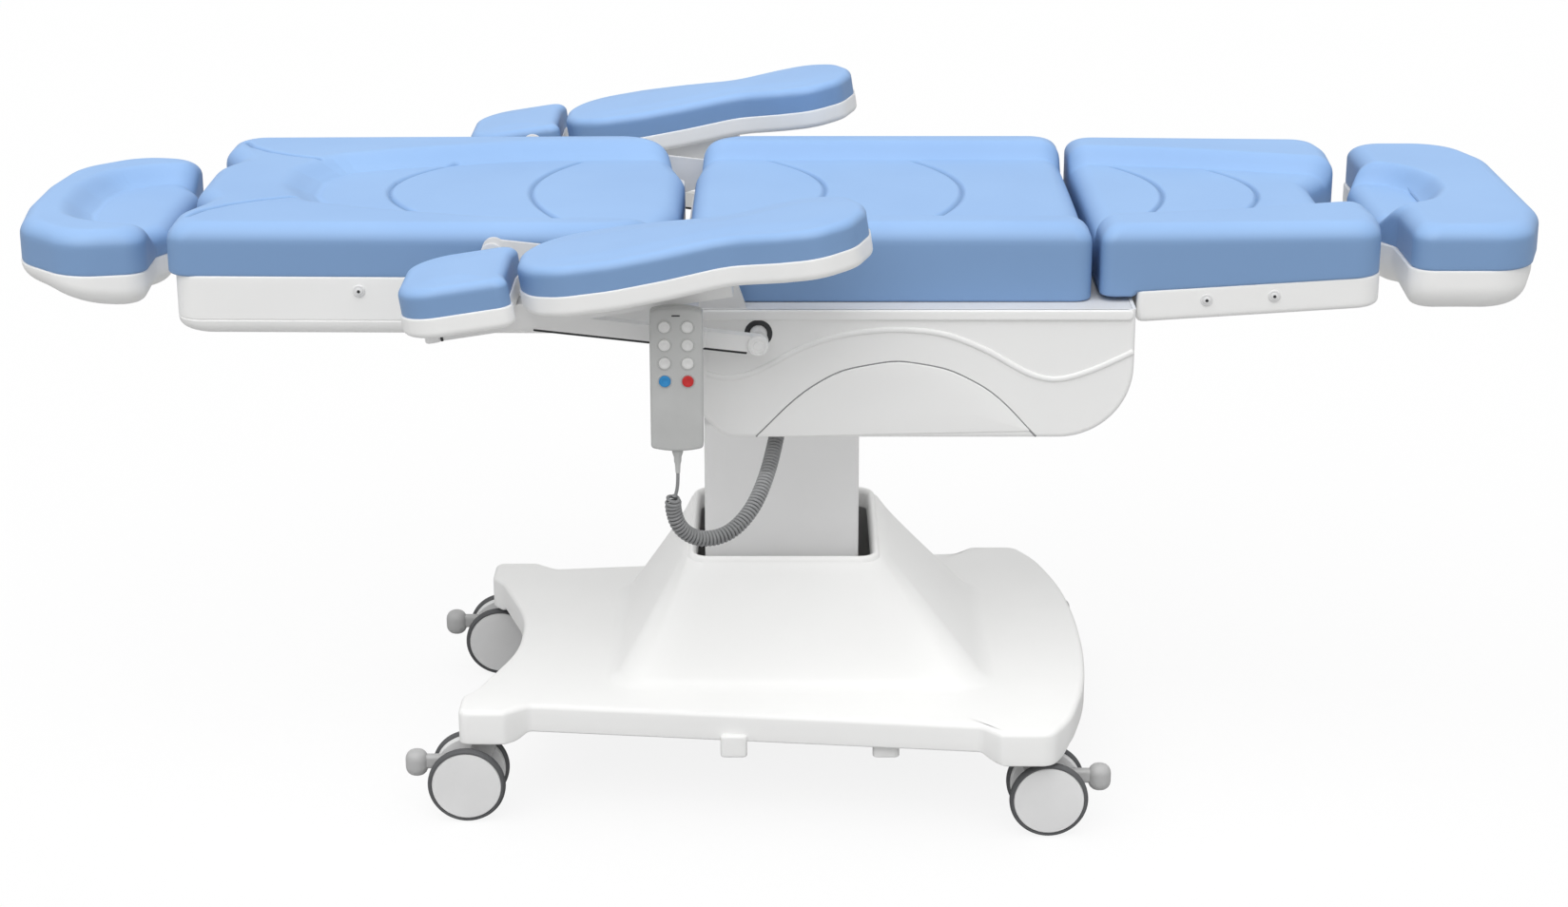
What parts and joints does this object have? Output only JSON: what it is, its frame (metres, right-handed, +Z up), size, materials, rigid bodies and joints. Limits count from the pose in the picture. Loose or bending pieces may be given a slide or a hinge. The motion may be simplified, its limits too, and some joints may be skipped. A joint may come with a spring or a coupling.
{
  "type": "medical exam table",
  "caption": "Electric treatment table on braked casters: lifting column, tilting back and leg sections, sliding head and foot pads, self-levelling armrests and a wired hand control.",
  "frame": {"origin": "on the floor under the middle of the table's length and width", "axes": "+X towards the foot end, +Z up, -Y the side with the hand control"},
  "size_m": [1.89, 0.9844, 0.8485],
  "materials": {
    "white_shell": "satin moulded white",
    "upholstery": "smooth blue coated fabric",
    "column_paint": "satin light grey",
    "frame_steel": "satin black",
    "link_steel": "satin white",
    "shaft_steel": "brushed",
    "caster_dark": "soft grey rubber",
    "caster_fork": "moulded dark grey",
    "pedal_grey": "moulded grey",
    "motor_black": "matt black",
    "handset_grey": "moulded grey",
    "button_grey": "moulded light grey",
    "button_blue": "moulded blue",
    "button_red": "moulded red",
    "cord_grey": "matt grey sheath"
  },
  "bodies": {
    "base": {"base_frame": "frame_steel", "base_cover": "white_shell", "lift_outer_stage": "column_paint", "lift_motor": "motor_black"},
    "seat": {"column_sheath": "column_paint", "lift_inner_stage": "column_paint", "seat_frame": "frame_steel", "seat_cover": "white_shell", "seat_cushion": "upholstery", "control_box": "motor_black", "link_shafts": "shaft_steel", "back_actuator": "motor_black", "leg_actuator": "motor_black", "handset_holder": "white_shell", "handset_body": "handset_grey", "handset_relief": "handset_grey", "cord_tail": "cord_grey", "cord_coil": "cord_grey"},
    "back": {"back_frame": "frame_steel", "back_shell": "white_shell", "back_cushion": "upholstery", "back_screws": "shaft_steel"},
    "leg": {"leg_frame": "frame_steel", "leg_shell": "white_shell", "leg_cushion": "upholstery", "leg_screws": "shaft_steel"},
    "foot_carriage": {"foot_rods": "shaft_steel"},
    "foot": {"foot_shell": "white_shell", "foot_cushion": "upholstery"},
    "head_carriage": {"head_rods": "shaft_steel"},
    "head": {"head_shell": "white_shell", "head_cushion": "upholstery"},
    "arm_near": {"arm_bracket_near": "link_steel", "arm_shells_near": "white_shell", "arm_pads_near": "upholstery"},
    "link_near": {"arm_link_near": "link_steel"},
    "arm_far": {"arm_bracket_far": "link_steel", "arm_shells_far": "white_shell", "arm_pads_far": "upholstery"},
    "link_far": {"arm_link_far": "link_steel"},
    "fork_head_near": {"caster_fork_head_near": "caster_fork"},
    "wheels_head_near": {"caster_wheels_head_near": "caster_dark"},
    "pedal_head_near": {"caster_pedal_head_near": "pedal_grey"},
    "fork_head_far": {"caster_fork_head_far": "caster_fork"},
    "wheels_head_far": {"caster_wheels_head_far": "caster_dark"},
    "pedal_head_far": {"caster_pedal_head_far": "pedal_grey"},
    "fork_foot_near": {"caster_fork_foot_near": "caster_fork"},
    "wheels_foot_near": {"caster_wheels_foot_near": "caster_dark"},
    "pedal_foot_near": {"caster_pedal_foot_near": "pedal_grey"},
    "fork_foot_far": {"caster_fork_foot_far": "caster_fork"},
    "wheels_foot_far": {"caster_wheels_foot_far": "caster_dark"},
    "pedal_foot_far": {"caster_pedal_foot_far": "pedal_grey"},
    "key_1": {"button_1": "button_grey"},
    "key_2": {"button_2": "button_grey"},
    "key_3": {"button_3": "button_grey"},
    "key_4": {"button_4": "button_grey"},
    "key_5": {"button_5": "button_grey"},
    "key_6": {"button_6": "button_grey"},
    "key_7": {"button_7": "button_blue"},
    "key_8": {"button_8": "button_red"}
  },
  "joints": [
    {"name": "column_lift", "type": "slide", "parent": "base", "child": "seat", "axis": [0, 0, 1], "range_m": [-0.09, 0.1]},
    {"name": "back_tilt", "type": "hinge", "parent": "seat", "child": "back", "pos_m": [-0.063, 0, 0.728], "axis": [0, 1, 0], "range_deg": [0, 70]},
    {"name": "leg_tilt", "type": "hinge", "parent": "seat", "child": "leg", "pos_m": [0.446, 0, 0.662], "axis": [0, 1, 0], "range_deg": [0, 80]},
    {"name": "foot_slide", "type": "slide", "parent": "leg", "child": "foot_carriage", "axis": [1, 0, 0], "range_m": [0, 0.08]},
    {"name": "foot_tilt", "type": "hinge", "parent": "foot_carriage", "child": "foot", "pos_m": [0.771, 0, 0.686], "axis": [0, 1, 0], "range_deg": [0, 40]},
    {"name": "head_slide", "type": "slide", "parent": "back", "child": "head_carriage", "axis": [-1, 0, 0], "range_m": [0, 0.08]},
    {"name": "head_tilt", "type": "hinge", "parent": "head_carriage", "child": "head", "pos_m": [-0.782, 0, 0.686], "axis": [0, -1, 0], "range_deg": [0, 35]},
    {"name": "arm_tilt_near", "type": "hinge", "parent": "back", "child": "arm_near", "pos_m": [-0.338, 0, 0.759], "axis": [0, 1, 0], "range_deg": [-70, 0]},
    {"name": "link_swing_near", "type": "hinge", "parent": "seat", "child": "link_near", "pos_m": [-0.019, 0, 0.66], "axis": [0, 1, 0], "range_deg": [0, 70]},
    {"name": "arm_tilt_far", "type": "hinge", "parent": "back", "child": "arm_far", "pos_m": [-0.338, 0, 0.759], "axis": [0, 1, 0], "range_deg": [-70, 0]},
    {"name": "link_swing_far", "type": "hinge", "parent": "seat", "child": "link_far", "pos_m": [-0.019, 0, 0.66], "axis": [0, 1, 0], "range_deg": [0, 70]},
    {"name": "swivel_head_near", "type": "hinge", "parent": "base", "child": "fork_head_near", "pos_m": [-0.372, -0.244, 0.12], "axis": [0, 0, 1], "continuous": true},
    {"name": "roll_head_near", "type": "hinge", "parent": "fork_head_near", "child": "wheels_head_near", "pos_m": [-0.395, -0.244, 0.05], "axis": [0, 1, 0], "continuous": true},
    {"name": "brake_head_near", "type": "hinge", "parent": "fork_head_near", "child": "pedal_head_near", "pos_m": [-0.429, -0.244, 0.082], "axis": [0, -1, 0], "range_deg": [0, 8]},
    {"name": "swivel_head_far", "type": "hinge", "parent": "base", "child": "fork_head_far", "pos_m": [-0.372, 0.244, 0.12], "axis": [0, 0, 1], "continuous": true},
    {"name": "roll_head_far", "type": "hinge", "parent": "fork_head_far", "child": "wheels_head_far", "pos_m": [-0.395, 0.244, 0.05], "axis": [0, 1, 0], "continuous": true},
    {"name": "brake_head_far", "type": "hinge", "parent": "fork_head_far", "child": "pedal_head_far", "pos_m": [-0.429, 0.244, 0.082], "axis": [0, -1, 0], "range_deg": [0, 8]},
    {"name": "swivel_foot_near", "type": "hinge", "parent": "base", "child": "fork_foot_near", "pos_m": [0.325, -0.288, 0.12], "axis": [0, 0, 1], "continuous": true},
    {"name": "roll_foot_near", "type": "hinge", "parent": "fork_foot_near", "child": "wheels_foot_near", "pos_m": [0.348, -0.288, 0.05], "axis": [0, 1, 0], "continuous": true},
    {"name": "brake_foot_near", "type": "hinge", "parent": "fork_foot_near", "child": "pedal_foot_near", "pos_m": [0.382, -0.288, 0.082], "axis": [0, 1, 0], "range_deg": [0, 8]},
    {"name": "swivel_foot_far", "type": "hinge", "parent": "base", "child": "fork_foot_far", "pos_m": [0.325, 0.288, 0.12], "axis": [0, 0, 1], "continuous": true},
    {"name": "roll_foot_far", "type": "hinge", "parent": "fork_foot_far", "child": "wheels_foot_far", "pos_m": [0.348, 0.288, 0.05], "axis": [0, 1, 0], "continuous": true},
    {"name": "brake_foot_far", "type": "hinge", "parent": "fork_foot_far", "child": "pedal_foot_far", "pos_m": [0.382, 0.288, 0.082], "axis": [0, 1, 0], "range_deg": [0, 8]},
    {"name": "press_1", "type": "slide", "parent": "seat", "child": "key_1", "axis": [0, 1, 0], "range_m": [0, 0.0012], "stiffness_N_per_m": 800, "springref_m": -0.0005},
    {"name": "press_2", "type": "slide", "parent": "seat", "child": "key_2", "axis": [0, 1, 0], "range_m": [0, 0.0012], "stiffness_N_per_m": 800, "springref_m": -0.0005},
    {"name": "press_3", "type": "slide", "parent": "seat", "child": "key_3", "axis": [0, 1, 0], "range_m": [0, 0.0012], "stiffness_N_per_m": 800, "springref_m": -0.0005},
    {"name": "press_4", "type": "slide", "parent": "seat", "child": "key_4", "axis": [0, 1, 0], "range_m": [0, 0.0012], "stiffness_N_per_m": 800, "springref_m": -0.0005},
    {"name": "press_5", "type": "slide", "parent": "seat", "child": "key_5", "axis": [0, 1, 0], "range_m": [0, 0.0012], "stiffness_N_per_m": 800, "springref_m": -0.0005},
    {"name": "press_6", "type": "slide", "parent": "seat", "child": "key_6", "axis": [0, 1, 0], "range_m": [0, 0.0012], "stiffness_N_per_m": 800, "springref_m": -0.0005},
    {"name": "press_7", "type": "slide", "parent": "seat", "child": "key_7", "axis": [0, 1, 0], "range_m": [0, 0.0012], "stiffness_N_per_m": 800, "springref_m": -0.0005},
    {"name": "press_8", "type": "slide", "parent": "seat", "child": "key_8", "axis": [0, 1, 0], "range_m": [0, 0.0012], "stiffness_N_per_m": 800, "springref_m": -0.0005}
  ],
  "couplings": [
    {"joint": "arm_tilt_near", "follows": "back_tilt", "ratio": -1},
    {"joint": "link_swing_near", "follows": "back_tilt", "ratio": 1},
    {"joint": "arm_tilt_far", "follows": "back_tilt", "ratio": -1},
    {"joint": "link_swing_far", "follows": "back_tilt", "ratio": 1}
  ]
}
